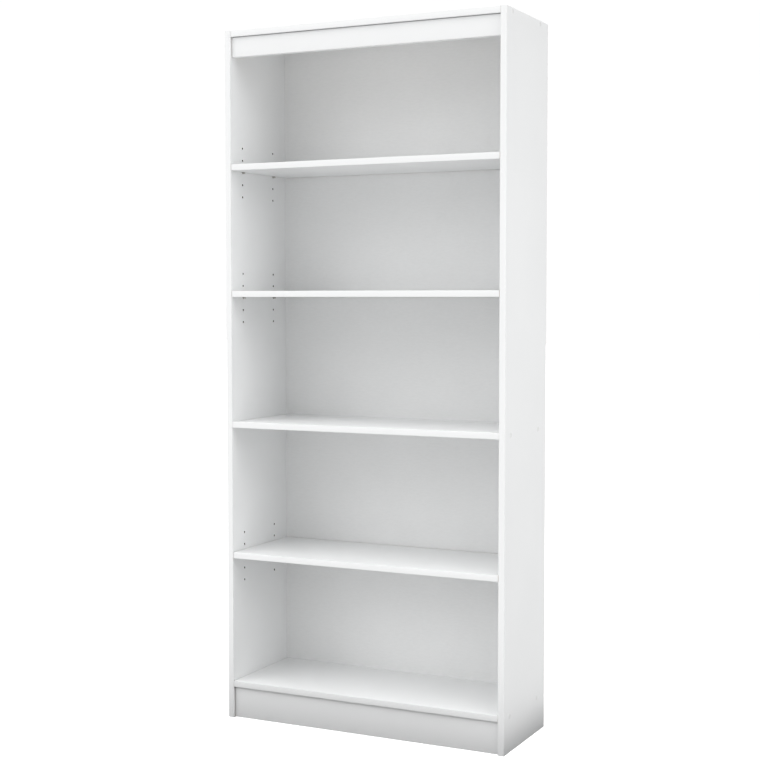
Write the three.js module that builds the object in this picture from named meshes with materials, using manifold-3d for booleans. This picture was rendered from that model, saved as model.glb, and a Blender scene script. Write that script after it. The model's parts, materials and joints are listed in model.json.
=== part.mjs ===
// Bookcase with adjustable shelves: two sides, three fixed boards, three loose shelves on pins.
// Millimetres, +Z up, front towards -Y, origin on the floor under the middle of the case.
import * as THREE from 'three';
import { mergeVertices } from 'three/addons/utils/BufferGeometryUtils.js';
import Module from 'manifold-3d';

const wasm = await Module();
wasm.setup();

// Overall size
const width = 786; // outer face of one side to outer face of the other
const depth = 288; // front edge of the sides to the rear face of the back
const height = 1810;
const boardThick = 16; // every board of the case and every shelf
const backThick = 3;

// Front edges
const edgeRadius = 1.2; // banded edges are eased this much
const boardSetback = 1; // boards and shelves stand this far behind the sides
const railSetback = 8; // top rail and plinth behind the front of the sides
const arcSteps = 3; // facets in one eased corner

// Heights
const plinthHeight = 81.4;
const floorGap = 1; // the plinth hangs clear of the floor
const plinthGap = 0.6; // between the plinth and the bottom board
const railHeight = 51.5;
const railGap = 0.5; // between the top rail and the top board
// Clear heights of the bays in proportion, bottom bay first; they share what the boards leave
const bayShares = [329, 331, 328, 314, 329];

// Loose shelves and their pins
const shelfEndGap = 1; // each end of a loose shelf to the side
const shelfRearGap = 2; // a loose shelf to the back
const pinRadius = 2.45;
const pinPlay = 0.05; // clearance all round a pin in its hole
const pinDepth = 9; // length of the pin inside the side
const pinEndGap = 0.5; // between the end of the pin and the bottom of its hole
const pinReach = 8; // length of the pin under the shelf
const pinChamfer = 0.6;
const holePitch = 32;
const spareHoles = 2; // free holes above and below the one in use
const frontColumn = 59; // hole column behind the front of the sides
const rearColumn = 71; // hole column ahead of the rear face

// Case screws and their cover caps
const screwFront = 37; // behind the front of the sides
const screwRear = 60; // ahead of the rear face
const screwShank = 3.5; // radius inside the side
const screwCore = 2.5; // radius inside the board's end
const screwHead = 5;
const headDepth = 3.2;
const headRecess = 0.4; // the head lies this far below the outer face
const screwLength = 50;
const screwPlay = 0.1;
const screwEndGap = 1; // the bore in the board's end is this much deeper than the screw
const capRadius = 6;
const capThick = 1;
const capEase = 0.4;

// Dowels in the ends of the top rail and the plinth
const dowelRadius = 4;
const dowelPlay = 0.05;
const dowelInSide = 10;
const dowelInRail = 20;
const dowelEndGap = 0.5;
const dowelChamfer = 1;
const dowelEdge = 13; // a dowel's middle to the rail's nearer long edge

// Back in two pieces that meet behind the fixed shelf
const backInset = 1; // from the outer faces and from the top
const backJoint = 0.6;

const roundSteps = 12; // facets round a hole or a pin
const capSteps = 24;
const overrun = 1; // a bore is cut this far past the face it opens in

// Derived places
const innerHalf = width / 2 - boardThick;
const frontY = -depth / 2;
const rearY = depth / 2 - backThick; // rear edges of the case boards
const boardFrontY = frontY + boardSetback;
const railFrontY = frontY + railSetback;
const bottomZ = floorGap + plinthHeight + plinthGap; // underside of the bottom board
const topZ = height - boardThick; // underside of the top board
const looseBoards = bayShares.length - 1;
const clearTotal = topZ - (bottomZ + boardThick) - looseBoards * boardThick;
const shareTotal = bayShares.reduce((sum, share) => sum + share, 0);
const undersides = []; // of the four boards between the bottom board and the top board
let level = bottomZ + boardThick;
for (let i = 0; i < looseBoards; i += 1) {
  level += (clearTotal * bayShares[i]) / shareTotal;
  undersides.push(level);
  level += boardThick;
}
const [lowerZ, fixedZ, secondZ, upperZ] = undersides;

const looks = {
  melamine: { color: 0xf3f3f1, roughness: 0.42, metalness: 0 },
  back: { color: 0xe9e9e7, roughness: 0.6, metalness: 0 },
  plastic: { color: 0xf5f5f3, roughness: 0.38, metalness: 0 },
  steel: { color: 0x9a9a98, roughness: 0.32, metalness: 1 },
  zinc: { color: 0xb9b6a8, roughness: 0.4, metalness: 1 },
  beech: { color: 0xcfae7c, roughness: 0.75, metalness: 0 },
};

const bookcase = new THREE.Group();
bookcase.name = 'bookcase';

function addNode(name, geometry, look) {
  const mesh = new THREE.Mesh(geometry, new THREE.MeshStandardMaterial(looks[look]));
  mesh.name = name;
  bookcase.add(mesh);
}

// Shared corners only, without the flat slivers a lathe leaves on its axis
function weld(geometry) {
  const bare = geometry.clone();
  for (const key of Object.keys(bare.attributes)) {
    if (key !== 'position') {
      bare.deleteAttribute(key);
    }
  }
  const welded = mergeVertices(bare, 1e-5);
  const index = welded.index.array;
  const kept = [];
  for (let i = 0; i < index.length; i += 3) {
    const [a, b, c] = [index[i], index[i + 1], index[i + 2]];
    if (a !== b && b !== c && c !== a) {
      kept.push(a, b, c);
    }
  }
  welded.setIndex(kept);
  return welded;
}

function toSolid(geometry) {
  const welded = weld(geometry);
  return new wasm.Manifold(new wasm.Mesh({
    numProp: 3,
    vertProperties: new Float32Array(welded.attributes.position.array),
    triVerts: new Uint32Array(welded.index.array),
  }));
}

function toGeometry(solid) {
  const mesh = solid.getMesh();
  const geometry = new THREE.BufferGeometry();
  geometry.setAttribute('position', new THREE.BufferAttribute(new Float32Array(mesh.vertProperties), 3));
  geometry.setIndex(new THREE.BufferAttribute(new Uint32Array(mesh.triVerts), 1));
  geometry.computeVertexNormals();
  return geometry;
}

// Rectangle from (u0, v0) to (u1, v1) with its corners eased by the four radii,
// in the order (u0, v0), (u1, v0), (u1, v1), (u0, v1)
function section(u0, v0, u1, v1, radii) {
  const shape = new THREE.Shape();
  const corners = [
    [u0, v0, 1, 1, Math.PI],
    [u1, v0, -1, 1, Math.PI * 1.5],
    [u1, v1, -1, -1, 0],
    [u0, v1, 1, -1, Math.PI * 0.5],
  ];
  const points = [];
  corners.forEach(([u, v, du, dv, start], i) => {
    const radius = radii[i];
    if (radius === 0) {
      points.push(new THREE.Vector2(u, v));
      return;
    }
    for (let k = 0; k <= arcSteps; k += 1) {
      const angle = start + (k / arcSteps) * Math.PI * 0.5;
      points.push(new THREE.Vector2(
        u + du * radius + radius * Math.cos(angle),
        v + dv * radius + radius * Math.sin(angle),
      ));
    }
  });
  shape.setFromPoints(points);
  return shape;
}

// A board lying across the case: its section is drawn in Y and Z, and runs from x0 to x1
function crossBoard(x0, x1, y0, z0, y1, z1, radii) {
  const shape = section(y0, z0, y1, z1, radii);
  const geometry = new THREE.ExtrudeGeometry(shape, { depth: x1 - x0, bevelEnabled: false });
  const turn = new THREE.Matrix4().makeBasis(
    new THREE.Vector3(0, 1, 0),
    new THREE.Vector3(0, 0, 1),
    new THREE.Vector3(1, 0, 0),
  );
  geometry.applyMatrix4(turn);
  geometry.translate(x0, 0, 0);
  return toSolid(geometry);
}

// A turned piece along X from a profile of [distance along X, radius], starting and ending on
// the axis; side is -1 or 1 and says which way the profile's distance counts
function turned(profile, steps, side, x, y, z) {
  const points = profile.map(([along, radius]) => new THREE.Vector2(radius, along));
  const geometry = new THREE.LatheGeometry(points, steps);
  geometry.rotateZ(-Math.PI / 2);
  if (side < 0) {
    geometry.rotateY(Math.PI);
  }
  geometry.translate(x, y, z);
  return toSolid(geometry);
}

// Everything bored into a panel is collected here before the panel is cut
const bores = { left_side: [], right_side: [] };
const boardBores = {};
const sides = [
  { name: 'left', sign: -1, node: 'left_side' },
  { name: 'right', sign: 1, node: 'right_side' },
];

// Pins in the middle hole of each row of five, and the holes
const shelves = [
  { name: 'upper_shelf', pin: 'pin_upper', z: upperZ },
  { name: 'second_shelf', pin: 'pin_second', z: secondZ },
  { name: 'lower_shelf', pin: 'pin_lower', z: lowerZ },
];
const columns = [
  { name: 'front', y: frontY + frontColumn },
  { name: 'rear', y: depth / 2 - rearColumn },
];
const pinProfile = [
  [-pinDepth, 0],
  [-pinDepth, pinRadius - pinChamfer],
  [-pinDepth + pinChamfer, pinRadius],
  [pinReach - pinChamfer, pinRadius],
  [pinReach, pinRadius - pinChamfer],
  [pinReach, 0],
];
const pinHoleProfile = [
  [-pinDepth - pinEndGap, 0],
  [-pinDepth - pinEndGap, pinRadius + pinPlay],
  [overrun, pinRadius + pinPlay],
  [overrun, 0],
];
for (const shelf of shelves) {
  const rowZ = shelf.z - pinRadius; // the shelf rests on the top of its pins
  for (const side of sides) {
    for (const column of columns) {
      const faceX = side.sign * innerHalf;
      for (let k = -spareHoles; k <= spareHoles; k += 1) {
        const hole = turned(pinHoleProfile, roundSteps, -side.sign, faceX, column.y, rowZ + k * holePitch);
        bores[side.node].push(hole);
      }
      const pin = turned(pinProfile, roundSteps, -side.sign, faceX, column.y, rowZ);
      addNode(`${shelf.pin}_${side.name}_${column.name}`, toGeometry(pin), 'steel');
    }
  }
}

// Screws through the sides into the ends of the three fixed boards, under cover caps
const fixedBoards = [
  { name: 'top', node: 'top_board', z: topZ },
  { name: 'middle', node: 'fixed_shelf', z: fixedZ },
  { name: 'bottom', node: 'bottom_board', z: bottomZ },
];
const screwRows = [
  { name: 'front', y: frontY + screwFront },
  { name: 'rear', y: depth / 2 - screwRear },
];
// Distances count inwards from the outer face of the side
const screwProfile = [
  [headRecess, 0],
  [headRecess, screwHead],
  [headRecess + headDepth, screwShank],
  [boardThick, screwShank],
  [boardThick, screwCore],
  [screwLength - screwCore, screwCore],
  [screwLength, 0],
];
const sideBoreProfile = [
  [-overrun, 0],
  [-overrun, screwHead + screwPlay],
  [headRecess + screwPlay, screwHead + screwPlay],
  [headRecess + headDepth + screwPlay, screwShank + screwPlay],
  [boardThick + overrun, screwShank + screwPlay],
  [boardThick + overrun, 0],
];
const endBoreProfile = [
  [boardThick - overrun, 0],
  [boardThick - overrun, screwCore + screwPlay],
  [screwLength + screwEndGap, screwCore + screwPlay],
  [screwLength + screwEndGap, 0],
];
const capProfile = [
  [-capThick, 0],
  [-capThick, capRadius - capEase],
  [-capThick + capEase, capRadius],
  [0, capRadius],
  [0, 0],
];
for (const panel of fixedBoards) {
  boardBores[panel.node] = [];
  const middleZ = panel.z + boardThick / 2;
  for (const side of sides) {
    for (const row of screwRows) {
      const place = [-side.sign, side.sign * (width / 2), row.y, middleZ];
      const tag = `${panel.name}_${side.name}_${row.name}`;
      addNode(`screw_${tag}`, toGeometry(turned(screwProfile, roundSteps, ...place)), 'zinc');
      addNode(`cap_${tag}`, toGeometry(turned(capProfile, capSteps, ...place)), 'plastic');
      bores[side.node].push(turned(sideBoreProfile, roundSteps, ...place));
      boardBores[panel.node].push(turned(endBoreProfile, roundSteps, ...place));
    }
  }
}

// Pairs of dowels from the sides into the ends of the top rail and the plinth
const rails = [
  { name: 'rail', node: 'top_rail', z0: topZ - railGap - railHeight, z1: topZ - railGap },
  { name: 'plinth', node: 'plinth', z0: floorGap, z1: floorGap + plinthHeight },
];
// Distances count inwards from the inner face of the side
const dowelProfile = [
  [-dowelInSide, 0],
  [-dowelInSide, dowelRadius - dowelChamfer],
  [-dowelInSide + dowelChamfer, dowelRadius],
  [dowelInRail - dowelChamfer, dowelRadius],
  [dowelInRail, dowelRadius - dowelChamfer],
  [dowelInRail, 0],
];
const dowelBoreProfile = [
  [-dowelInSide - dowelEndGap, 0],
  [-dowelInSide - dowelEndGap, dowelRadius + dowelPlay],
  [dowelInRail + dowelEndGap, dowelRadius + dowelPlay],
  [dowelInRail + dowelEndGap, 0],
];
for (const rail of rails) {
  boardBores[rail.node] = [];
  const y = railFrontY + boardThick / 2;
  for (const side of sides) {
    for (const [name, z] of [['upper', rail.z1 - dowelEdge], ['lower', rail.z0 + dowelEdge]]) {
      const place = [-side.sign, side.sign * innerHalf, y, z];
      const dowel = turned(dowelProfile, roundSteps, ...place);
      addNode(`dowel_${rail.name}_${side.name}_${name}`, toGeometry(dowel), 'beech');
      bores[side.node].push(turned(dowelBoreProfile, roundSteps, ...place));
      boardBores[rail.node].push(turned(dowelBoreProfile, roundSteps, ...place));
    }
  }
}

function cut(solid, cutters) {
  let result = solid;
  for (const cutter of cutters) {
    result = result.subtract(cutter);
  }
  return result;
}

// Sides: full height, section drawn in X and Y, front corners eased
for (const side of sides) {
  const x0 = Math.min(side.sign * innerHalf, side.sign * (width / 2));
  const shape = section(x0, frontY, x0 + boardThick, rearY, [edgeRadius, edgeRadius, 0, 0]);
  const panel = toSolid(new THREE.ExtrudeGeometry(shape, { depth: height, bevelEnabled: false }));
  addNode(side.node, toGeometry(cut(panel, bores[side.node])), 'melamine');
}

// Boards fixed between the sides
const frontEased = [edgeRadius, 0, 0, edgeRadius];
for (const panel of fixedBoards) {
  const solid = crossBoard(
    -innerHalf, innerHalf, boardFrontY, panel.z, rearY, panel.z + boardThick, frontEased,
  );
  addNode(panel.node, toGeometry(cut(solid, boardBores[panel.node])), 'melamine');
}

// Loose shelves
for (const shelf of shelves) {
  const half = innerHalf - shelfEndGap;
  const solid = crossBoard(
    -half, half, boardFrontY, shelf.z, rearY - shelfRearGap, shelf.z + boardThick, frontEased,
  );
  addNode(shelf.name, toGeometry(solid), 'melamine');
}

// Top rail and plinth
for (const rail of rails) {
  const solid = crossBoard(
    -innerHalf, innerHalf, railFrontY, rail.z0, railFrontY + boardThick, rail.z1, frontEased,
  );
  addNode(rail.node, toGeometry(cut(solid, boardBores[rail.node])), 'melamine');
}

// Back panels on the rear edges, meeting at the middle of the fixed shelf
const jointZ = fixedZ + boardThick / 2;
const backs = [
  { node: 'back_upper', z0: jointZ + backJoint / 2, z1: height - backInset },
  { node: 'back_lower', z0: bottomZ + backInset, z1: jointZ - backJoint / 2 },
];
for (const back of backs) {
  const geometry = new THREE.BoxGeometry(width - 2 * backInset, backThick, back.z1 - back.z0);
  geometry.translate(0, rearY + backThick / 2, (back.z0 + back.z1) / 2);
  addNode(back.node, toGeometry(toSolid(geometry)), 'back');
}

export default bookcase;
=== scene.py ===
# Bookcase with adjustable shelves: white faced boards, a fixed middle shelf, three loose shelves on pins
import json
import math

import bmesh
import bpy
import numpy as np
from mathutils import Euler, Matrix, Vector


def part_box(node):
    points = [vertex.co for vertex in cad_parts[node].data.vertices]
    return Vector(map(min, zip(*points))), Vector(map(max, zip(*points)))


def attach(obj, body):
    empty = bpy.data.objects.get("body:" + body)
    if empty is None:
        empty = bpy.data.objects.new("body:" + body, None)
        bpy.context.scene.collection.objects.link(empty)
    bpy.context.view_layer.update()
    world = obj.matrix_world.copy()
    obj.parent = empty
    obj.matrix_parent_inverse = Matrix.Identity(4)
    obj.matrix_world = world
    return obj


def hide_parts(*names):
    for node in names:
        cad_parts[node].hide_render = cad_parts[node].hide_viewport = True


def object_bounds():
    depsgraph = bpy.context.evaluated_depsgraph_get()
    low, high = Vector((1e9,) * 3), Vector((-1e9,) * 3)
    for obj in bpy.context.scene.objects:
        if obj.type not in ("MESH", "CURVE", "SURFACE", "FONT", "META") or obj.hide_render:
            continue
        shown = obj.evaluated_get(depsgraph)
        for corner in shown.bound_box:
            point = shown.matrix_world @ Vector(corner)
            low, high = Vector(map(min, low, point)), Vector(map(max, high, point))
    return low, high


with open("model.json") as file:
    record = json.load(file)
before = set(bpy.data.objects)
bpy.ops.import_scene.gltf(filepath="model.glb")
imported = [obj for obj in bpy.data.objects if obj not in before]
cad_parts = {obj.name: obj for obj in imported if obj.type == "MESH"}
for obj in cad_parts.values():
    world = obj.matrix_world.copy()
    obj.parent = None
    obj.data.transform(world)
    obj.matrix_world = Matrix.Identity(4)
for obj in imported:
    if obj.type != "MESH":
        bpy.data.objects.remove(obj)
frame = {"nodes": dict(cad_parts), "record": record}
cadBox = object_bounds()
mm = 0.001
nodeBody = {node: body for body, nodes in frame["record"]["behaviour"]["bodies"].items() for node in nodes}
print("frame loaded:", len(frame["nodes"]), "nodes")


def pieceName(node):
    first, *rest = node.split("_")
    return first + "".join(word.capitalize() for word in rest)


def boxOf(node):
    low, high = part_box(node)
    return np.array(low), np.array(high)


# ---- materials
# Each finish is one material: a colour with slow variation, a roughness with its own, and a bump


def newMaterial(name):
    material = bpy.data.materials.new(name)
    material.use_nodes = True
    nodes = material.node_tree.nodes
    shader = nodes["Principled BSDF"]
    return material, material.node_tree, shader


def addNode(tree, kind, inputs=None, **settings):
    node = tree.nodes.new(kind)
    for key, value in settings.items():
        setattr(node, key, value)
    for key, value in (inputs or {}).items():
        if isinstance(value, bpy.types.NodeSocket):
            tree.links.new(value, node.inputs[key])
        else:
            node.inputs[key].default_value = value
    return node


def objectPoint(tree, scale=(1, 1, 1)):
    point = addNode(tree, "ShaderNodeTexCoord").outputs["Object"]
    return addNode(tree, "ShaderNodeMapping", {"Vector": point, "Scale": scale}).outputs["Vector"]


def noise(tree, point, scale, detail=2.0, output="Fac"):
    inputs = {"Vector": point, "Scale": scale, "Detail": detail}
    return addNode(tree, "ShaderNodeTexNoise", inputs).outputs[output]


def maths(tree, operation, *values):
    return addNode(tree, "ShaderNodeMath", dict(enumerate(values)), operation=operation).outputs[0]


def ramp(tree, factor, stops):
    node = addNode(tree, "ShaderNodeValToRGB", {"Fac": factor})
    elements = node.color_ramp.elements
    while len(elements) < len(stops):
        elements.new(0.5)
    for element, (position, colour) in zip(elements, stops):
        element.position = position
        element.color = (*colour, 1)
    return node.outputs["Color"]


def spread(tree, factor, low, high):
    inputs = {"Value": factor, "To Min": low, "To Max": high}
    return addNode(tree, "ShaderNodeMapRange", inputs).outputs["Result"]


def bumpChain(tree, shader, layers):
    # layers are (height socket, distance in metres, strength), the broad one first
    normal = None
    for height, distance, strength in layers:
        inputs = {"Height": height, "Distance": distance, "Strength": strength}
        if normal is not None:
            inputs["Normal"] = normal
        normal = addNode(tree, "ShaderNodeBump", inputs).outputs["Normal"]
    tree.links.new(normal, shader.inputs["Normal"])


# White melamine paper pressed on board: a faint orange peel and finer pores over it
melamine = {
    "light": (0.826, 0.832, 0.834),
    "dark": (0.805, 0.812, 0.814),
    "gloss": (0.34, 0.44),
    "cloud": 5,  # this and the next three are features in a metre
    "smear": 38,
    "peel": 420,
    "pores": 2600,
}


def melamineMaterial(name, look, glossShift=0.0, peelStrength=0.10):
    material, tree, shader = newMaterial(name)
    point = objectPoint(tree)
    cloud = noise(tree, point, look["cloud"], 5.0)
    smear = noise(tree, point, look["smear"], 6.0)
    peel = noise(tree, point, look["peel"])
    pores = addNode(tree, "ShaderNodeTexVoronoi", {"Vector": point, "Scale": look["pores"]})
    colour = ramp(tree, cloud, [(0.3, look["dark"]), (0.7, look["light"])])
    tree.links.new(colour, shader.inputs["Base Color"])
    low, high = look["gloss"]
    tree.links.new(spread(tree, smear, low + glossShift, high + glossShift), shader.inputs["Roughness"])
    shader.inputs["IOR"].default_value = 1.5
    bumpChain(tree, shader, [
        (peel, 0.06 * mm, peelStrength),
        (pores.outputs["Distance"], 0.02 * mm, peelStrength),
    ])
    return material


# Bare particle board: pressed chips of several browns, the coarse core showing between finer skins
rawBoard = {
    "chips": [(0.0, (0.20, 0.12, 0.06)), (0.35, (0.42, 0.29, 0.17)), (0.7, (0.58, 0.44, 0.28)),
              (1.0, (0.72, 0.60, 0.43))],
    "lay": (0.45, 0.45, 1.6),  # the chips lie flat in the board
    "chipSize": 330,  # sizes are features in a metre
    "dustSize": 1500,
    "warpSize": 260,
    "warp": 0.004,  # how far the chips' outlines are bent
    "lift": 0.12,  # added to the tone, which is chip times dust
    "roughness": 0.88,
}


def rawBoardMaterial(name, look):
    material, tree, shader = newMaterial(name)
    point = objectPoint(tree, look["lay"])
    warp = noise(tree, point, look["warpSize"], 3.0, output="Color")
    bent = addNode(tree, "ShaderNodeMix", {"Factor": look["warp"], 6: point, 7: warp}, data_type="RGBA",
                   blend_type="ADD").outputs[2]
    chips = addNode(tree, "ShaderNodeTexVoronoi", {"Vector": bent, "Scale": look["chipSize"]})
    dust = noise(tree, point, look["dustSize"], 4.0)
    tone = addNode(tree, "ShaderNodeSeparateColor", {"Color": chips.outputs["Color"]}).outputs["Red"]
    mixed = maths(tree, "MULTIPLY_ADD", tone, dust, look["lift"])
    tree.links.new(ramp(tree, mixed, look["chips"]), shader.inputs["Base Color"])
    shader.inputs["Roughness"].default_value = look["roughness"]
    bumpChain(tree, shader, [
        (chips.outputs["Distance"], 0.5 * mm, 0.5),
        (dust, 0.2 * mm, 0.6),
    ])
    return material


# Hardboard: smooth white paint on the face that looks into the bays, brown fibre behind
hardboard = {
    "paintLight": (0.828, 0.833, 0.833),
    "paintDark": (0.798, 0.804, 0.804),
    "fibre": [(0.25, (0.20, 0.115, 0.060)), (0.55, (0.29, 0.175, 0.095)), (0.8, (0.37, 0.235, 0.135))],
}


def paintedHardboard(look):
    material, tree, shader = newMaterial("paintedHardboard")
    point = objectPoint(tree)
    cloud = noise(tree, point, 9.0, 6.0)
    fibre = noise(tree, point, 620.0, 4.0)
    fleck = noise(tree, objectPoint(tree, (0.3, 1, 1)), 240.0, 5.0)
    mottle = addNode(tree, "ShaderNodeMix", {"Factor": 0.6, 2: cloud, 3: fleck}).outputs[0]
    tree.links.new(ramp(tree, mottle, [(0.34, look["paintDark"]), (0.62, look["paintLight"])]),
                   shader.inputs["Base Color"])
    tree.links.new(spread(tree, fibre, 0.46, 0.62), shader.inputs["Roughness"])
    bumpChain(tree, shader, [(cloud, 0.5 * mm, 0.06), (fibre, 0.08 * mm, 0.18)])
    return material


def bareHardboard(look):
    material, tree, shader = newMaterial("bareHardboard")
    point = objectPoint(tree)
    streak = noise(tree, point, 150.0, 8.0)
    tree.links.new(ramp(tree, streak, look["fibre"]), shader.inputs["Base Color"])
    shader.inputs["Roughness"].default_value = 0.82
    # The pressing screen leaves a fine weave of dents
    waves = []
    for direction in ("X", "Z"):
        wave = addNode(tree, "ShaderNodeTexWave", {"Vector": point, "Scale": 130.0, "Distortion": 0.6},
                       bands_direction=direction)
        waves.append(wave.outputs["Fac"])
    weave = maths(tree, "MULTIPLY", *waves)
    bumpChain(tree, shader, [(weave, 0.25 * mm, 0.5), (streak, 0.2 * mm, 0.5)])
    return material


metals = {
    "nickel": {"colour": (0.60, 0.585, 0.555), "gloss": (0.22, 0.38), "grain": 900},
    "zinc": {"colour": (0.66, 0.62, 0.50), "gloss": (0.30, 0.50), "grain": 500},
    "nailSteel": {"colour": (0.45, 0.45, 0.46), "gloss": (0.35, 0.55), "grain": 1200},
}


def metalMaterial(name, look):
    material, tree, shader = newMaterial(name)
    point = objectPoint(tree)
    grain = noise(tree, point, look["grain"], 3.0)
    base = np.array(look["colour"])
    tree.links.new(ramp(tree, grain, [(0.3, base * 0.82), (0.7, base)]), shader.inputs["Base Color"])
    tree.links.new(spread(tree, grain, *look["gloss"]), shader.inputs["Roughness"])
    shader.inputs["Metallic"].default_value = 1.0
    bumpChain(tree, shader, [(grain, 0.03 * mm, 0.2)])
    return material


plastic = {
    "light": (0.800, 0.800, 0.795),
    "dark": (0.770, 0.770, 0.765),
    "gloss": (0.22, 0.32),
    "grain": 3200,
}


def plasticMaterial(look):
    material, tree, shader = newMaterial("whitePlastic")
    point = objectPoint(tree)
    cloud = noise(tree, point, 160.0)
    grain = noise(tree, point, look["grain"])
    colour = ramp(tree, cloud, [(0.3, look["dark"]), (0.7, look["light"])])
    tree.links.new(colour, shader.inputs["Base Color"])
    tree.links.new(spread(tree, grain, *look["gloss"]), shader.inputs["Roughness"])
    bumpChain(tree, shader, [(grain, 0.03 * mm, 0.15)])
    return material


beech = {"grainTones": [(0.25, (0.50, 0.33, 0.17)), (0.6, (0.66, 0.47, 0.27)), (0.85, (0.74, 0.57, 0.36))]}


def beechMaterial(look):
    material, tree, shader = newMaterial("beech")
    point = objectPoint(tree, (0.08, 1, 1))
    grain = noise(tree, point, 900.0, 5.0)
    tree.links.new(ramp(tree, grain, look["grainTones"]), shader.inputs["Base Color"])
    tree.links.new(spread(tree, grain, 0.65, 0.85), shader.inputs["Roughness"])
    bumpChain(tree, shader, [(grain, 0.1 * mm, 0.4)])
    return material


# Glue line beside the edge band, and painted shade in a drilled hole: the bore's walls are bare board made
# far darker than the rest, so that the hole reads dark
glueLook = {**melamine, "light": (0.60, 0.59, 0.57), "dark": (0.46, 0.45, 0.43), "gloss": (0.5, 0.7)}
boreShadeBoard = {
    **rawBoard,
    # chips far darker than bare board's: painted shade inside the bore
    "chips": [(0.0, (0.035, 0.026, 0.018)), (0.5, (0.085, 0.066, 0.048)), (1.0, (0.15, 0.12, 0.09))],
    "chipSize": 500,
    "dustSize": 1800,
}

facing = melamineMaterial("whiteMelamine", melamine)
banding = melamineMaterial("whiteEdgeBand", melamine, glossShift=-0.04, peelStrength=0.05)
rawCore = rawBoardMaterial("rawParticleBoard", rawBoard)
# the bore walls' material, which carries the painted shade
boreShadeCore = rawBoardMaterial("drilledParticleBoard", boreShadeBoard)
glueLine = melamineMaterial("glueLine", glueLook)
paintedBack = paintedHardboard(hardboard)
bareBack = bareHardboard(hardboard)
nickel = metalMaterial("nickelPlate", metals["nickel"])
zinc = metalMaterial("zincPlate", metals["zinc"])
nailSteel = metalMaterial("nailSteel", metals["nailSteel"])
capPlastic = plasticMaterial(plastic)
beechWood = beechMaterial(beech)
print("materials made:", len(bpy.data.materials))


# ---- meshes
# A patch is (points, faces, material number, smooth). Faces are index arrays into the patch's own points
creaseAngle = 38  # degrees; faces that meet more steeply than this keep a hard edge
weldReach = 0.002 * mm  # points nearer than this become one


def buildPiece(name, patches, materials):
    points, faces, slots, smooth = [], [], [], []
    start = 0
    for patchPoints, patchFaces, slot, isSmooth in patches:
        points.append(np.asarray(patchPoints, float).reshape(-1, 3))
        shifted = [(np.asarray(face) + start).tolist() for face in patchFaces]
        faces += shifted
        slots += [slot] * len(shifted)
        smooth += [isSmooth] * len(shifted)
        start += len(points[-1])
    mesh = bpy.data.meshes.new(name)
    mesh.from_pydata(np.concatenate(points).tolist(), [], faces)
    for material in materials:
        mesh.materials.append(material)
    mesh.polygons.foreach_set("material_index", np.array(slots, np.int32))
    mesh.polygons.foreach_set("use_smooth", np.array(smooth, bool))
    soft = bmesh.new()
    soft.from_mesh(mesh)
    bmesh.ops.remove_doubles(soft, verts=soft.verts, dist=weldReach)
    bmesh.ops.recalc_face_normals(soft, faces=soft.faces)
    soft.to_mesh(mesh)
    soft.free()
    mesh.validate()
    mesh.set_sharp_from_angle(angle=math.radians(creaseAngle))
    piece = bpy.data.objects.new(name, mesh)
    bpy.context.scene.collection.objects.link(piece)
    return piece


def standFor(piece, node):
    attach(piece, nodeBody[node])
    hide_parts(node)
    return piece


# Quads of a grid of rows by columns of points, numbered row by row; closed joins the last column to the first
def gridFaces(rows, columns, closed=False):
    across = columns if closed else columns - 1
    i, j = np.meshgrid(np.arange(rows - 1), np.arange(across), indexing="ij")
    k = (j + 1) % columns
    here, above = i * columns, (i + 1) * columns
    return np.stack((here + j, here + k, above + k, above + j), -1).reshape(-1, 4)


# Points of an arc about a centre: centre + radius (cos t, sin t), t from one angle to the other in degrees
def arc(centre, radius, start, end, steps):
    t = np.radians(np.linspace(start, end, steps + 1))
    return np.column_stack((centre[0] + radius * np.cos(t), centre[1] + radius * np.sin(t)))


board = {
    "band": 0.8 * mm,  # thickness of the edge band
    "ease": 0.65 * mm,  # radius of the band's two corners
    "easeSteps": 6,
    "seam": 0.14 * mm,  # width of the glue line between band and face
    "seamDepth": 0.10 * mm,
}


# Loop of a board's section in (a, b): a back from the front edge, b through the thickness. It runs round the
# banded front from the low face to the high face, back along the high face, down the rear edge and forward
# along the low face. Returns the points and, for each edge of the loop, its kind
def boardSection(deep, thick, lowLines, highLines, look):
    ease, seam = look["ease"], look["seam"]
    joint = max(look["band"], ease)
    lowFront = arc((ease, ease), ease, 270, 180, look["easeSteps"])
    highFront = arc((ease, thick - ease), ease, 180, 90, look["easeSteps"])
    points = [(joint, 0.0), *lowFront, *highFront, (joint, thick),
              (joint + seam / 2, thick - look["seamDepth"]), (joint + seam, thick)]
    kinds = ["band"] * (len(points) - 3) + ["seam", "seam"]
    highLines = sorted(highLines)
    lowLines = sorted(lowLines, reverse=True)
    points += [(a, thick) for a in highLines] + [(deep, thick), (deep, 0.0)] + [(a, 0.0) for a in lowLines]
    kinds += ["high"] * (len(highLines) + 1) + ["rear"] + ["low"] * (len(lowLines) + 1)
    points += [(joint + seam, 0.0), (joint + seam / 2, look["seamDepth"])]
    kinds += ["seam", "seam"]
    return np.array(points), kinds


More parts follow.
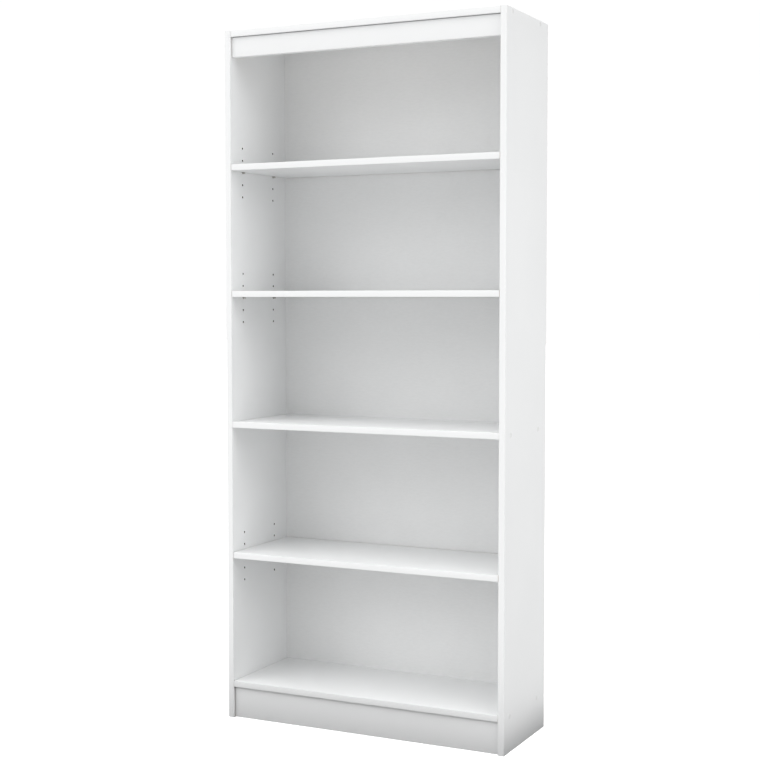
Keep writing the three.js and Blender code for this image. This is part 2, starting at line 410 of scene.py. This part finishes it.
# Square cell of flat face round a bore, and the bore: rings of points at (radius, depth) about the middle,
# the outer ring joined to the cell's four corners by triangles, the last one closed by a flat bottom
def borePatches(middle, cell, rings, steps, place, faceSlot, wallSlot):
    turn = math.pi / 4 + np.arange(steps) * 2 * math.pi / steps
    corners = middle + cell * np.array([(1, 1), (-1, 1), (-1, -1), (1, -1)])
    radii, depths = np.array(rings).T
    circle = np.column_stack((np.cos(turn), np.sin(turn)))
    ringPoints = middle + radii[:, None, None] * circle[None]
    flat = np.concatenate((corners, ringPoints[0]))
    i = np.arange(steps)
    quarter = steps // 4
    owner = ((i // quarter) + (i % quarter >= quarter // 2)) % 4
    fans = np.column_stack((owner, 4 + i, 4 + (i + 1) % steps))
    q = np.arange(4)
    wedges = np.column_stack((q, 4 + q * quarter + quarter // 2, (q + 1) % 4))
    facePoints = place(flat[:, 0], flat[:, 1], np.zeros(len(flat)))
    face = (facePoints, np.concatenate((fans, wedges)), faceSlot, False)
    count = len(radii)
    walls = place(ringPoints[..., 0].ravel(), ringPoints[..., 1].ravel(), np.repeat(depths, steps))
    wall = (walls, gridFaces(count, steps, closed=True), wallSlot, True)
    bottom = (walls[-steps:], [np.arange(steps)], wallSlot, False)
    return [face, wall, bottom]


# A board swept along its length: every point is origin + a A + b B + s S for the three directions given.
# Each bore has its face ("low" or "high"), the middle (a, s), the cell's half size, the rings and their steps
def sweptBoard(origin, directions, size, ends, bores, slots, look=board, section=boardSection):
    deep, thick, long = size
    aDir, bDir, sDir = (np.array(d, float) for d in directions)
    lines = {"low": set(), "high": set()}
    stations = {0.0, long}
    # rounded, so that cells in one row share their lines
    for bore in bores:
        a, s = bore["middle"]
        lines[bore["face"]] |= {round(a - bore["cell"], 7), round(a + bore["cell"], 7)}
        stations |= {round(s - bore["cell"], 7), round(s + bore["cell"], 7)}
    loop, kinds = section(deep, thick, lines["low"], lines["high"], look)
    stations = np.array(sorted(stations))
    count = len(loop)
    flat = loop[:, 0, None] * aDir + loop[:, 1, None] * bDir
    points = origin + flat[None] + stations[:, None, None] * sDir
    faces = gridFaces(len(stations), count, closed=True).reshape(len(stations) - 1, count, 4)
    kept = np.ones(faces.shape[:2], bool)
    patches = []
    following = np.roll(loop, -1, axis=0)
    middles = (loop + following) / 2
    kindOf = np.array(kinds)
    for bore in bores:
        a, s = bore["middle"]
        # the nearest edge of the loop that lies on the bore's own face
        otherFace = kindOf != bore["face"]
        column = np.argmin(np.where(otherFace, np.inf, np.abs(middles[:, 0] - a)))
        row = np.searchsorted(stations, s) - 1
        kept[row, column] = False
        top, inward = (thick, -1) if bore["face"] == "high" else (0.0, 1)

        def place(u, v, w, top=top, inward=inward):
            return origin + u[:, None] * aDir + (top + inward * w)[:, None] * bDir + v[:, None] * sDir

        patches += borePatches(np.array((a, s)), bore["cell"], bore["rings"], bore["steps"], place,
                               slots[bore["face"]], slots["bore"])
    for kind in ("band", "seam", "high", "rear", "low"):
        chosen = faces[kept & (kindOf == kind)[None]]
        if len(chosen):
            patches.append((points.reshape(-1, 3), chosen, slots[kind], kind == "band"))
    for end, ring in (("start", points[0]), ("end", points[-1])):
        patches.append((ring, [np.arange(count)], slots[ends[end]], False))
    return patches


boardMaterials = [facing, banding, rawCore, glueLine, boreShadeCore]
boardSlots = {"low": 0, "high": 0, "band": 1, "seam": 3, "rear": 2, "raw": 2, "bore": 4, "banded": 1}

# Boards that lie across the case, and the hairlines left beside them: at either end, and along the top
hairlines = {
    "top_board": {"ends": 0.5 * mm, "top": 0},
    "top_rail": {"ends": 1.5 * mm, "top": 0.9 * mm},
    "fixed_shelf": {"ends": 0.3 * mm, "top": 0},
    "bottom_board": {"ends": 0.5 * mm, "top": 0},
    "plinth": {"ends": 1.5 * mm, "top": 0},
    "upper_shelf": {"ends": 0, "top": 0},
    "second_shelf": {"ends": 0, "top": 0},
    "lower_shelf": {"ends": 0, "top": 0},
}
for node, gap in hairlines.items():
    low, high = boxOf(node)
    low[0] += gap["ends"]
    high[0] -= gap["ends"]
    high[2] -= gap["top"]
    across, deep, tall = high - low
    patches = sweptBoard(low, [(0, 1, 0), (0, 0, 1), (1, 0, 0)], (deep, tall, across),
                         {"start": "raw", "end": "raw"}, [], boardSlots)
    standFor(buildPiece(pieceName(node), patches, boardMaterials), node)
print("cross boards made")

# Sides, with the rows of pin holes in the inner face
pinHole = {
    "radius": 2.5 * mm,
    "rim": 0.25 * mm,  # chamfer where the drill left the facing
    "depth": 9.5 * mm,
    "pitch": 32 * mm,
    "spare": 2,  # free holes above and below the one in use
    "cell": 6 * mm,
    "steps": 24,
}
for node in ("left_side", "right_side"):
    low, high = boxOf(node)
    thick, deep, tall = high - low
    side = "left" if node.startswith("left") else "right"
    drill, rim = pinHole["radius"], pinHole["rim"]
    rings = [(drill + rim, 0), (drill, rim), (drill, pinHole["depth"])]
    bores = []
    for pin in (name for name in frame["nodes"] if name.startswith("pin_") and f"_{side}_" in name):
        pinLow, pinHigh = boxOf(pin)
        middle = (pinLow + pinHigh) / 2
        for k in range(-pinHole["spare"], pinHole["spare"] + 1):
            place = (middle[1] - low[1], middle[2] - low[2] + k * pinHole["pitch"])
            bores.append({"face": "high", "middle": place, "cell": pinHole["cell"], "rings": rings,
                          "steps": pinHole["steps"]})
    # b runs from the outer face to the inner one
    outer = low[0] if side == "left" else high[0]
    inward = 1 if side == "left" else -1
    patches = sweptBoard(np.array((outer, low[1], low[2])), [(0, 1, 0), (inward, 0, 0), (0, 0, 1)],
                         (deep, thick, tall), {"start": "raw", "end": "banded"}, bores, boardSlots)
    standFor(buildPiece(pieceName(node), patches, boardMaterials), node)
print("sides made")

# Back panels: painted towards the bays, bare behind, with a shallow dimple round each nail
nail = {
    "inset": 7 * mm,  # from the panel's edge to the nail
    "spacing": 150 * mm,
    "dimple": 2.6 * mm,
    "dimpleDepth": 0.7 * mm,
    "dimplePlay": 0.1 * mm,  # between the head and the dimple's foot
    "sunk": 0.15 * mm,  # from the panel's face down to the head
    "head": 1.9 * mm,
    "headThick": 0.45 * mm,
    "shank": 0.7 * mm,
    "length": 18 * mm,
    "cell": 5 * mm,
    "steps": 16,
}


# Plain section of a back panel; it takes what boardSection takes
def backSection(deep, thick, lowLines, highLines, look):
    highLines = sorted(highLines)
    points = [(0.0, 0.0), (0.0, thick)] + [(a, thick) for a in highLines] + [(deep, thick), (deep, 0.0)]
    kinds = ["rear"] + ["high"] * (len(highLines) + 1) + ["rear", "low"]
    return np.array(points), kinds


# Heads of nails with a slight dome, and their shanks, turned about Y: all of one panel in one mesh
def nailPatches(places, y, look):
    r = np.array([0, 0.55, 0.9, 1, 1]) * look["head"]
    drop = np.array([0, 0.04, 0.14, 0.3, 1]) * look["headThick"]
    r = np.concatenate((r, [look["shank"], look["shank"], 0]))
    drop = np.concatenate((drop, [look["headThick"], look["length"] - look["shank"] * 2, look["length"]]))
    t = np.arange(look["steps"]) * 2 * math.pi / look["steps"]
    patches = []
    for x, z in places:
        points = np.stack((x + r[:, None] * np.cos(t), np.broadcast_to(y - drop[:, None], (len(r), len(t))),
                           z + r[:, None] * np.sin(t)), -1)
        patches.append((points, gridFaces(len(r), len(t), closed=True), 0, True))
    return patches


backSlots = {"low": 0, "high": 1, "rear": 1, "bore": 1, "bare": 1}
for node in ("back_upper", "back_lower"):
    low, high = boxOf(node)
    wide, thick, tall = high - low
    inset = nail["inset"]
    columns = np.linspace(inset, wide - inset, 1 + round(wide / nail["spacing"]))
    rows = np.linspace(inset, tall - inset, 1 + round(tall / nail["spacing"]))
    places = [(x, z) for x in columns for z in (rows[0], rows[-1])]
    places += [(x, z) for x in (columns[0], columns[-1]) for z in rows[1:-1]]
    rings = [(nail["dimple"], 0), (nail["head"] + nail["dimplePlay"], nail["dimpleDepth"])]
    bores = [{"face": "high", "middle": place, "cell": nail["cell"], "rings": rings, "steps": nail["steps"]}
             for place in places]
    patches = sweptBoard(low, [(1, 0, 0), (0, 1, 0), (0, 0, 1)], (wide, thick, tall),
                         {"start": "bare", "end": "bare"}, bores, backSlots, section=backSection)
    standFor(buildPiece(pieceName(node), patches, [paintedBack, bareBack]), node)
    heads = nailPatches([(low[0] + x, low[2] + z) for x, z in places], high[1] - nail["sunk"], nail)
    nails = buildPiece(pieceName(node) + "Nails", heads, [nailSteel])
    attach(nails, nodeBody[node])
print("back panels made")


# Surface of revolution about a line along X: each profile point (distance along, radius) is turned a full
# circle, and both ends lie on the axis
def turnedPatch(profile, steps, middle, sign):
    along, radius = np.array(profile, float).T
    t = np.arange(steps) * 2 * math.pi / steps
    points = np.stack((np.broadcast_to(middle[0] + sign * along[:, None], (len(along), steps)),
                       middle[1] + radius[:, None] * np.cos(t), middle[2] + radius[:, None] * np.sin(t)), -1)
    return (points, gridFaces(len(along), steps, closed=True), 0, True)


# Shelf pins: chamfered tail, plain shank, a turned groove at the face of the side, domed nose
pinLook = {
    "shy": 0.02 * mm,  # how much thinner the pin is than its seat, so that it never grazes the shelf on it
    "chamfer": 0.6 * mm,
    "groove": 0.25 * mm,
    "grooveWidth": 0.8 * mm,
    "dome": 0.35 * mm,
    "reach": 8 * mm,  # how far it stands out of the side
    "noseRadius": 0.7 * mm,
    "noseSteps": 6,
    "crownSteps": 4,
    "steps": 32,
}
for node in (name for name in frame["nodes"] if name.startswith("pin_")):
    low, high = boxOf(node)
    middle = (low + high) / 2
    radius = (high[2] - low[2]) / 2 - pinLook["shy"]
    inward = 1 if "_left_" in node else -1
    start = low[0] if inward > 0 else high[0]
    long = high[0] - low[0]
    face = long - pinLook["reach"]
    c, g, w = pinLook["chamfer"], pinLook["groove"], pinLook["grooveWidth"]
    noseRadius, dome = pinLook["noseRadius"], pinLook["dome"]
    nose = arc((long - dome - noseRadius, radius - noseRadius), noseRadius, 90, 12, pinLook["noseSteps"])
    # over the crown the reach falls with the square of the distance from the middle
    crownFoot, crownRadius = nose[-1]
    crown = [(crownFoot + (long - crownFoot) * (1 - k * k), crownRadius * k)
             for k in np.linspace(1, 0, pinLook["crownSteps"] + 1)[1:]]
    profile = [(0, 0), (0, radius - c), (c, radius), (face - w / 2, radius), (face - w / 4, radius - g),
               (face + w / 4, radius - g), (face + w / 2, radius), *nose, *crown]
    patch = turnedPatch(profile, pinLook["steps"], np.array((start, middle[1], middle[2])), inward)
    standFor(buildPiece(pieceName(node), [patch], [nickel]), node)
print("shelf pins made")

# Cover caps: a disc with a bevelled rim and a faint dome, on a foot a little narrower than itself, with the
# trace of its moulding gate. The dome falls with the square of the distance from the middle
capLook = {
    "foot": 0.30 * mm,  # how far the foot stands in from the rim
    "footThick": 0.08 * mm,
    "rim": 0.06 * mm,
    "bevel": 1.0 * mm,  # width of the bevel
    "dome": 0.14 * mm,
    "domeEnd": 0.2,  # share of the dome's radius at which it gives way to the gate
    "domeSteps": 8,
    "gate": 0.55 * mm,
    "gateDepth": 0.08 * mm,
    "gateTaper": 0.85,  # radius at its foot, as a share of that at its mouth
    "rimSteps": 4,
    "steps": 48,
}
for node in (name for name in frame["nodes"] if name.startswith("cap_")):
    low, high = boxOf(node)
    middle = (low + high) / 2
    radius = (high[2] - low[2]) / 2
    thick = high[0] - low[0]
    outward = -1 if "_left_" in node else 1
    base = high[0] if outward < 0 else low[0]
    footRadius, footThick = radius - capLook["foot"], capLook["footThick"]
    rimRadius, domeHeight, gateRadius = capLook["rim"], capLook["dome"], capLook["gate"]
    rim = arc((footThick + rimRadius, radius - rimRadius), rimRadius, 90, 30, capLook["rimSteps"])
    domeRadius = radius - capLook["bevel"]
    dome = [(thick - domeHeight * k * k, domeRadius * k)
            for k in np.linspace(1, capLook["domeEnd"], capLook["domeSteps"] + 1)]
    gateTop = thick - domeHeight * (gateRadius / domeRadius) ** 2
    gateFoot = gateTop - capLook["gateDepth"]
    gate = [(gateTop, gateRadius), (gateFoot, gateRadius * capLook["gateTaper"]), (gateFoot, 0)]
    profile = [(0, 0), (0, footRadius), (footThick, footRadius), (footThick, radius - rimRadius),
               *rim, *dome, *gate]
    patch = turnedPatch(profile, capLook["steps"], np.array((base, middle[1], middle[2])), outward)
    standFor(buildPiece(pieceName(node), [patch], [capPlastic]), node)
print("cover caps made")

# Case screws: flat head with a hexagon socket, plain shank, coarse thread. The thread's radius is the core
# plus a ridge that is highest where the distance along, in pitches, keeps step with the angle
screwLook = {
    "headEdge": 0.3 * mm,  # rounding of the head's outer edge
    "headCone": 3.2 * mm,
    "shank": 3.5 * mm,
    "shankEnd": 16 * mm,
    "shankTaper": 0.4 * mm,  # from the full shank to the thread's core
    "core": 1.9 * mm,
    "crest": 2.5 * mm,
    "pitch": 3.0 * mm,
    "tip": 3 * mm,
    "socket": 2.0 * mm,
    "socketDepth": 2.6 * mm,
    "steps": 24,
    "perPitch": 8,
}


def screwPatches(start, sign, long, head, look):
    steps = look["steps"]
    t = np.arange(steps) * 2 * math.pi / steps
    # a hexagon's radius at angle t: its half width over the cosine of the angle to the nearest flat's middle
    sixth = math.pi / 3
    hexagon = look["socket"] / np.cos((t + sixth / 2) % sixth - sixth / 2)
    edge, shank, shankEnd = look["headEdge"], look["shank"], look["shankEnd"]
    rows = [(look["socketDepth"], 0), (look["socketDepth"], hexagon), (0, hexagon), (0, head - edge),
            (edge, head), (look["headCone"], shank), (shankEnd - look["shankTaper"], shank)]
    turns = (long - shankEnd) / look["pitch"]
    along = np.linspace(shankEnd, long, 1 + round(turns * look["perPitch"]))
    fade = np.clip((long - along) / look["tip"], 0, 1)
    phase = (along[:, None] / look["pitch"] - t / (2 * math.pi)) % 1
    ridge = np.clip(1 - np.abs(phase - 0.5) * 4, 0, 1)
    core = look["core"] * fade
    radius = core[:, None] + (look["crest"] - look["core"]) * ridge * fade[:, None]
    along = np.concatenate(([row[0] for row in rows], along))
    radius = np.concatenate((np.array([np.broadcast_to(row[1], steps) for row in rows]), radius))
    points = np.stack((np.broadcast_to(start[0] + sign * along[:, None], radius.shape),
                       start[1] + radius * np.cos(t), start[2] + radius * np.sin(t)), -1)
    return [(points, gridFaces(len(along), steps, closed=True), 0, True)]


for node in (name for name in frame["nodes"] if name.startswith("screw_")):
    low, high = boxOf(node)
    middle = (low + high) / 2
    inward = 1 if "_left_" in node else -1
    start = np.array((low[0] if inward > 0 else high[0], middle[1], middle[2]))
    patches = screwPatches(start, inward, high[0] - low[0], (high[2] - low[2]) / 2, screwLook)
    standFor(buildPiece(pieceName(node), patches, [zinc]), node)
print("case screws made")

# Dowels: the radius dips in each of the flutes, and both ends are chamfered
dowelLook = {"flutes": 16, "fluteDepth": 0.3 * mm, "chamfer": 1.2 * mm, "perFlute": 6}
for node in (name for name in frame["nodes"] if name.startswith("dowel_")):
    low, high = boxOf(node)
    middle = (low + high) / 2
    long = high[0] - low[0]
    radius = (high[2] - low[2]) / 2
    steps = dowelLook["flutes"] * dowelLook["perFlute"]
    t = np.arange(steps) * 2 * math.pi / steps
    flute = dowelLook["fluteDepth"] * (0.5 + 0.5 * np.cos(dowelLook["flutes"] * t)) ** 3
    c = dowelLook["chamfer"]
    along = np.array([0, 0, c, long - c, long, long])
    plain = np.array([0, radius - c, radius, radius, radius - c, 0])
    depth = np.array([0, 0, 1, 1, 0, 0])
    r = plain[:, None] - depth[:, None] * flute
    points = np.stack((np.broadcast_to(low[0] + along[:, None], r.shape), middle[1] + r * np.cos(t),
                       middle[2] + r * np.sin(t)), -1)
    patch = (points, gridFaces(len(along), steps, closed=True), 0, False)
    standFor(buildPiece(pieceName(node), [patch], [beechWood]), node)
print("dowels made")

# ---- floor, light and camera
floorLook = {
    "half": 30.0,
    "colour": (0.90, 0.90, 0.90),
    "glow": 0.85,  # keeps the floor as pale as the backdrop
    # how far the dark mat below reaches past the object on each side
    "shadeReach": {"left": 0.17, "right": 0.08, "front": 0.24, "back": 0.17},
    "shadeDrop": 0.5 * mm,
    "shadeColour": (0.02, 0.02, 0.02),
}
backdropLook = {"radius": 36.0, "glow": 1.0, "rings": 24, "steps": 48}


def stageMaterial(name, colour, glow):
    material, tree, shader = newMaterial(name)
    point = objectPoint(tree)
    cloud = noise(tree, point, 3.0, 4.0)
    base = np.array(colour)
    tree.links.new(ramp(tree, cloud, [(0.3, base * 0.99), (0.7, base)]), shader.inputs["Base Color"])
    shader.inputs["Roughness"].default_value = 0.9
    shader.inputs["Emission Color"].default_value = (1, 1, 1, 1)
    shader.inputs["Emission Strength"].default_value = glow
    return material


def stagePiece(name, points, faces, material):
    mesh = bpy.data.meshes.new(name)
    mesh.from_pydata(points, [], faces)
    mesh.materials.append(material)
    piece = bpy.data.objects.new(name, mesh)
    bpy.context.scene.collection.objects.link(piece)
    return piece


def rectangle(left, right, front, back, z):
    return [(left, front, z), (right, front, z), (right, back, z), (left, back, z)]


# The floor and the dome behind it are for the eye only; the mat below is for the light only and darkens the
# object towards its foot
half, reach = floorLook["half"], floorLook["shadeReach"]
floor = stagePiece("floor", rectangle(-half, half, -half, half, 0), [(0, 1, 2, 3)],
                   stageMaterial("paleFloor", floorLook["colour"], floorLook["glow"]))
mat = rectangle(cadBox[0][0] - reach["left"], cadBox[1][0] + reach["right"],
                cadBox[0][1] - reach["front"], cadBox[1][1] + reach["back"], -floorLook["shadeDrop"])
shade = stagePiece("floorShade", mat, [(0, 1, 2, 3)],
                   stageMaterial("shadeMat", floorLook["shadeColour"], 0.0))
# Dome points: radius (cos u cos t, cos u sin t, sin u), u from the nadir to the zenith, t round
u = np.radians(np.linspace(-90, 90, backdropLook["rings"]))[:, None]
t = np.arange(backdropLook["steps"]) * 2 * math.pi / backdropLook["steps"]
dome = np.stack((np.cos(u) * np.cos(t), np.cos(u) * np.sin(t), np.sin(u) + 0 * t), -1)
dome *= backdropLook["radius"]
backdrop = stagePiece("backdrop", dome.reshape(-1, 3).tolist(),
                      gridFaces(backdropLook["rings"], backdropLook["steps"], closed=True).tolist(),
                      stageMaterial("paleBackdrop", (0, 0, 0), backdropLook["glow"]))
for piece in (floor, backdrop):
    piece.visible_diffuse = False
    piece.visible_glossy = False
    piece.visible_transmission = False
    piece.visible_shadow = False
shade.visible_camera = False

scene = bpy.context.scene
scene.view_settings.view_transform = "Standard"

# The studio's light. Each bank of lights gathers round the direction it comes from: its strength there times
# the cosine of the angle from it, to the power gather. The room adds an even light from below the horizon,
# which fades out over the blend
roomLight = {"below": 0.76, "blend": 0.15}
banks = {
    "overhead": {"from": (0, 0, 1), "gather": 8, "strength": 2.6},
    "frontLeftHigh": {"from": (-0.55, -0.60, 0.58), "gather": 8, "strength": 2.98},
    "rightHigh": {"from": (0.80, -0.20, 0.56), "gather": 8, "strength": 1.45},
    "frontRightHigh": {"from": (0.55, -0.60, 0.58), "gather": 8, "strength": 1.24},
    "rightLow": {"from": (0.80, -0.20, -0.56), "gather": 8, "strength": 0.56},
    "left": {"from": (-1, 0, 0), "gather": 4, "strength": 0.70},
    "frontLow": {"from": (0, -0.80, -0.60), "gather": 8, "strength": 0.08},
}

world = bpy.data.worlds.new("studio")
world.use_nodes = True
tree = world.node_tree
direction = addNode(tree, "ShaderNodeTexCoord").outputs["Generated"]
height = addNode(tree, "ShaderNodeSeparateXYZ", {"Vector": direction}).outputs["Z"]
total = addNode(tree, "ShaderNodeMapRange", {
    "Value": height, "From Min": -roomLight["blend"], "From Max": roomLight["blend"],
    "To Min": roomLight["below"], "To Max": 0.0}, interpolation_type="SMOOTHSTEP").outputs["Result"]
for bank in banks.values():
    axis = Vector(bank["from"]).normalized()
    along = addNode(tree, "ShaderNodeVectorMath", {0: direction, 1: axis},
                    operation="DOT_PRODUCT").outputs["Value"]
    gathered = maths(tree, "POWER", maths(tree, "MAXIMUM", along, 0.0), bank["gather"])
    total = maths(tree, "MULTIPLY_ADD", gathered, bank["strength"], total)
background = tree.nodes["Background"]
background.inputs["Color"].default_value = (1, 1, 1, 1)
tree.links.new(total, background.inputs["Strength"])
scene.world = world

# One soft lamp stands to the right of the case, and a thin one in the mouth of each bay lights its back
sideLamp = {"place": (1.7, -0.3, 1.5), "aim": (0.4, 0, 1.4), "size": (0.5, 0.5), "power": 4.2}
bayLamp = {
    "size": (0.5, 0.04),
    "inset": 10 * mm,  # behind the front edges of the sides
    "edges": ["bottom_board", "lower_shelf", "fixed_shelf", "second_shelf", "upper_shelf", "top_rail"],
    "powers": [0.060, 0.020, 0.012, 0.030, 0.085],  # from the lowest bay up
}


def areaLamp(name, place, aim, size, power):
    data = bpy.data.lights.new(name, "AREA")
    data.shape = "RECTANGLE"
    data.size, data.size_y = size
    data.energy = power
    lamp = bpy.data.objects.new(name, data)
    lamp.location = place
    lamp.rotation_euler = (Vector(aim) - Vector(place)).to_track_quat("-Z", "Y").to_euler()
    lamp.visible_camera = False
    scene.collection.objects.link(lamp)


areaLamp("sideLamp", sideLamp["place"], sideLamp["aim"], sideLamp["size"], sideLamp["power"])
lampFront = cadBox[0][1] + bayLamp["inset"]
for under, over, power in zip(bayLamp["edges"], bayLamp["edges"][1:], bayLamp["powers"]):
    height = (boxOf(under)[1][2] + boxOf(over)[0][2]) / 2
    areaLamp(pieceName(over) + "BayLamp", (0, lampFront, height), (0, 0, height), bayLamp["size"], power)

# Where the eye stands and where it looks
cameraLook = {
    "place": (1.6959, -3.4709, 1.1180),
    "turn": 26.219,  # degrees to the left of straight ahead
    "tilt": -3.187,
    "roll": 0.019,
    "lens": 70.31,
}
cameraData = bpy.data.cameras.new("camera")
cameraData.lens = cameraLook["lens"]
camera = bpy.data.objects.new("camera", cameraData)
camera.location = cameraLook["place"]
camera.rotation_euler = Euler((math.radians(90 + cameraLook["tilt"]), math.radians(cameraLook["roll"]),
                               math.radians(cameraLook["turn"])), "XYZ")
scene.collection.objects.link(camera)
scene.camera = camera
print("floor, light and camera made")
